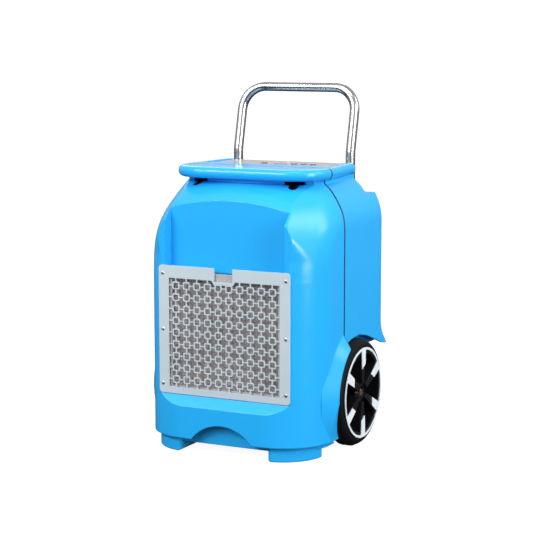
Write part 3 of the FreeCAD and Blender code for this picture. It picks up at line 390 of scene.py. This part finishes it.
MATERIALS = {
    "blue": blue_plastic(),
    "seal": mottled("dark_seal", (0.003, 0.10, 0.34), 0.6, 900.0, 0.0001),
    "grille": mottled("grille_coat", (0.56, 0.66, 0.72), 0.42, 1600.0, 0.00005, edge=0.0005,
                      spread=0.03, Metallic=0.25),
    "zinc": mottled("zinc_steel", (0.55, 0.56, 0.58), 0.3, 1400.0, 0.00004, edge=0.0003,
                    spread=0.1, Metallic=1.0),
    "bolt": mottled("yellow_zinc", (0.62, 0.52, 0.34), 0.3, 1400.0, 0.00004, edge=0.0003,
                    spread=0.15, Metallic=1.0),
    "filter_frame": mottled("filter_grey", (0.40, 0.39, 0.40), 0.5, 1200.0, 0.0001, spread=0.08),
    "weave": mottled("woven_wire", (0.56, 0.50, 0.50), 0.6, 2500.0, 0.00008, edge=0.0,
                     spread=0.12),
    "steel": polished_steel(),
    "black": mottled("black_plastic", (0.018, 0.018, 0.020), 0.42, 1100.0, 0.0001, spread=0.2),
    "panel": mottled("panel_gloss", (0.55, 0.55, 0.56), 0.12, 500.0, 0.00003, edge=0.0006,
                     spread=0.03, Specular_IOR_Level=0.4),
    "button": mottled("button_grey", (0.10, 0.11, 0.13), 0.4, 1500.0, 0.00005, edge=0.0008),
    "power": mottled("button_red", (0.16, 0.02, 0.02), 0.35, 1500.0, 0.00005, edge=0.0008),
    "lens": mottled("dark_lens", (0.006, 0.007, 0.010), 0.1, 300.0, 0.00002, Coat_Weight=0.8),
    "board": mottled("green_board", (0.02, 0.12, 0.05), 0.45, 500.0, 0.0002, spread=0.25),
    "tyre": mottled("tyre_rubber", (0.004, 0.005, 0.006), 0.6, 900.0, 0.00015, edge=0.0012,
                    spread=0.15, Specular_IOR_Level=0.12),
    "rim": mottled("rim_black", (0.004, 0.004, 0.005), 0.3, 900.0, 0.00005, edge=0.0015,
                   spread=0.2, Specular_IOR_Level=0.3),
    "white": mottled("trim_white", (0.72, 0.79, 0.84), 0.28, 900.0, 0.00005, edge=0.0008,
                     spread=0.02, Specular_IOR_Level=0.3),
    "sheet": mottled("galvanised", (0.50, 0.52, 0.54), 0.4, 120.0, 0.0002, spread=0.18,
                     Metallic=0.9),
    "fins": finned_metal("coil_fins", (0.55, 0.56, 0.57)),
    "enamel": mottled("black_enamel", (0.012, 0.012, 0.013), 0.3, 600.0, 0.0001, spread=0.2),
    "rubber": mottled("black_rubber", (0.02, 0.02, 0.02), 0.7, 900.0, 0.0002, spread=0.2),
    "copper": mottled("copper_tube", (0.72, 0.32, 0.18), 0.28, 500.0, 0.00006, spread=0.14,
                      Metallic=1.0),
    "can": mottled("drawn_can", (0.62, 0.63, 0.65), 0.3, 900.0, 0.00006, stretch=(1, 1, 0.05),
                   Metallic=1.0),
    "natural": mottled("natural_plastic", (0.72, 0.73, 0.72), 0.45, 700.0, 0.0001, spread=0.03,
                       Subsurface_Weight=0.1),
    "hose": mottled("grey_hose", (0.34, 0.37, 0.40), 0.4, 800.0, 0.0001),
}

NODE_MATERIALS = {
    "blue": ("front_shell", "rear_shell", "base_tray"),
    "seal": ("seam_gasket",),
    "grille": ("grille_plate",),
    "filter_frame": ("filter_frame",),
    "steel": ("handle_tube",),
    "black": ("handle_end_plugs", "handle_socket_left", "handle_socket_right", "clamp_knob_left",
              "clamp_knob_right", "outlet_grille", "fan_impeller", "mains_inlet",
              "drain_coupling", "condensate_pump", "electrical_box", "electrical_lid"),
    "panel": ("control_panel",),
    "button": ("button_mode", "button_down", "button_up"),
    "power": ("button_power",),
    "lens": ("display_window",),
    "board": ("circuit_board",),
    "rim": ("wheel_rim_left", "wheel_rim_right"),
    "white": ("wheel_trim_left", "wheel_trim_right"),
    "bolt": ("hub_bolts", "hub_washers", "axle", "inlet_pins"),
    "sheet": ("chassis_frame", "coil_stand", "drip_tray", "fan_bulkhead", "motor_bracket"),
    "fins": ("evaporator", "condenser"),
    "enamel": ("compressor", "fan_motor"),
    "rubber": ("compressor_grommets",),
    "copper": ("discharge_line", "suction_line", "liquid_line", "capillary_line",
               "filter_drier"),
    "can": ("run_capacitor",),
    "natural": ("pump_reservoir", "float_arm"),
    "hose": ("drain_hose",),
}


def paint(item, key):
    """Gives an object one of the named materials."""
    item.data.materials.clear()
    item.data.materials.append(MATERIALS[key])


def paint_nodes():
    """Gives every carried-over CAD node its material."""
    for key, names in NODE_MATERIALS.items():
        for name in names:
            paint(NODES[name], key)


def add_piece(name, mesh, key, body, node):
    """A finished piece that rides on a body and stands for a CAD node."""
    item = add_object(name, mesh)
    paint(item, key)
    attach(item, body)
    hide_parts(node)


# ---------------------------------------------------------------- screws

HEAD_HEIGHT = 0.0018
HEAD_STEPS = 32
HEAD_PROFILE = ((1.0, 0.0), (1.0, 0.35), (0.93, 0.62), (0.78, 0.82), (0.6, 0.93))
SLOT_HALF = 17              # degrees to each side of a slot's middle
SLOT_REACH = 0.52           # of the head's radius
HUB_REACH = 0.2             # the recess between the slots


def screw_head(shape, base, way, radius, height):
    """A domed round head with a cross recess, added to a bmesh."""
    recess = []
    for step in range(HEAD_STEPS):
        off_slot = abs((360 * step / HEAD_STEPS + 45) % 90 - 45)
        recess.append(SLOT_REACH if off_slot < SLOT_HALF else HUB_REACH)
    levels = [([reach] * HEAD_STEPS, rise) for reach, rise in HEAD_PROFILE]
    levels.append((recess, 0.98))
    levels.append(([reach * 0.8 for reach in recess], 0.3))
    outs = directions_round(way, HEAD_STEPS)
    rings = []
    for reaches, rise in levels:
        middle = base + way * height * rise
        rings.append([shape.verts.new(middle + out * radius * reach)
                      for out, reach in zip(outs, reaches)])
    for low, high in zip(rings, rings[1:]):
        join_rings(shape, low, high)
    shape.faces.new(rings[-1])
    shape.faces.new(rings[0][::-1])


def add_screws(node, way):
    """Detailed heads over every screw of a node; way is the axis that they face along."""
    way = Vector(way)
    shape = bmesh.new()
    for low, high in islands(node):
        size = high - low
        length = abs(size.dot(way))
        height = min(HEAD_HEIGHT, length)
        radius = max(size[axis] for axis in range(3) if not way[axis]) / 2
        base = (low + high) / 2 + way * (length / 2 - height)
        screw_head(shape, base, way, radius, height)
    add_piece(node + "_detail", finished_mesh(node + "_detail", shape, 30), "zinc", "cabinet",
              node)


# ---------------------------------------------------------------- tyres

# Pairs of radius and depth behind the outer face: bead, sidewall band and outer shoulder.
TYRE_OUTER = ((0.0985, 0.0445), (0.0985, 0.0080), (0.1051, 0.0078), (0.1053, 0.0012),
              (0.1068, 0.0002), (0.1090, 0.0000), (0.1118, 0.0002), (0.1145, 0.0014),
              (0.1172, 0.0034), (0.1196, 0.0062), (0.1216, 0.0096), (0.1232, 0.0132),
              (0.1242, 0.0158))
TYRE_INNER = ((0.1243, 0.0372), (0.1215, 0.0408), (0.1160, 0.0440), (0.1040, 0.0458),
              (0.1000, 0.0456))
TREAD_BLOCKS = (0.0165, 0.0235, 0.0305)     # where each raised band of the tread starts
TREAD_DEPTH = 0.0016
TYRE_STEPS = 180


def tyre_profile(radius):
    """The closed outline of a tyre's section."""
    tread = []
    for start in TREAD_BLOCKS:
        tread += [(radius, start), (radius, start + 0.0038),
                  (radius - TREAD_DEPTH, start + 0.0042), (radius - TREAD_DEPTH, start + 0.0062)]
    return [*TYRE_OUTER, *tread, *TYRE_INNER]


def add_tyre(side):
    """A solid tyre with rounded shoulders, a raised sidewall band and tread grooves."""
    node = "tyre_" + side
    low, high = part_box(node)
    outward = 1 if side == "right" else -1
    centre = (low + high) / 2
    centre.x = high.x if outward > 0 else low.x
    inward = Vector((-outward, 0, 0))
    profile = tyre_profile((high.z - low.z) / 2)
    shape = bmesh.new()
    rings = [[shape.verts.new(centre + out * radius + inward * depth) for radius, depth in profile]
             for out in directions_round(inward, TYRE_STEPS)]
    for before, after in zip(rings, rings[1:] + rings[:1]):
        join_rings(shape, before, after)
    add_piece(node + "_detail", finished_mesh(node + "_detail", shape, 40), "tyre",
              "wheel_" + side, node)


# ---------------------------------------------------------------- filter

STRAND_PITCH = 0.0031
STRAND_WIDTH = 0.0011
STRAND_RISE = 0.0006        # how far a strand swings to each side of the net's middle


def add_strand(shape, start, along, side, length, phase):
    """A strand of diamond section that weaves over and under the ones across it."""
    edge = side * STRAND_WIDTH * 0.5
    ridge = Vector((0, STRAND_WIDTH * 0.4, 0))
    rings = []
    for index in range(int(length / STRAND_PITCH) + 1):
        middle = start + along * STRAND_PITCH * index
        middle.y += STRAND_RISE if (index + phase) % 2 else -STRAND_RISE
        rings.append([shape.verts.new(middle + corner) for corner in (-edge, -ridge, edge, ridge)])
    for before, after in zip(rings, rings[1:]):
        join_rings(shape, before, after)


def add_weave():
    """The filter's woven strands, over and under each other in a square net."""
    low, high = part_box("filter_mesh")
    width, height = high.x - low.x, high.z - low.z
    corner = Vector((low.x, (low.y + high.y) / 2, low.z))
    across, upward = Vector((1, 0, 0)), Vector((0, 0, 1))
    shape = bmesh.new()
    for column in range(int(width / STRAND_PITCH) + 1):
        start = corner + across * STRAND_PITCH * column
        add_strand(shape, start, upward, across, height, column)
    for row in range(int(height / STRAND_PITCH) + 1):
        start = corner + upward * STRAND_PITCH * row
        add_strand(shape, start, across, upward, width, row + 1)
    add_piece("filter_weave", finished_mesh("filter_weave", shape, 60), "weave", "filter",
              "filter_mesh")


# ---------------------------------------------------------------- build

add_camera()
add_lamps()
add_surround()
add_floor()
paint_nodes()
add_screws("grille_screws", (0, -1, 0))
add_screws("outlet_screws", (0, 1, 0))
add_screws("panel_screws", (0, 0, 1))
add_screws("base_screws", (0, 0, -1))
for side in SIDES:
    add_tyre(side)
add_weave()

bpy.context.scene.view_settings.view_transform = "Standard"
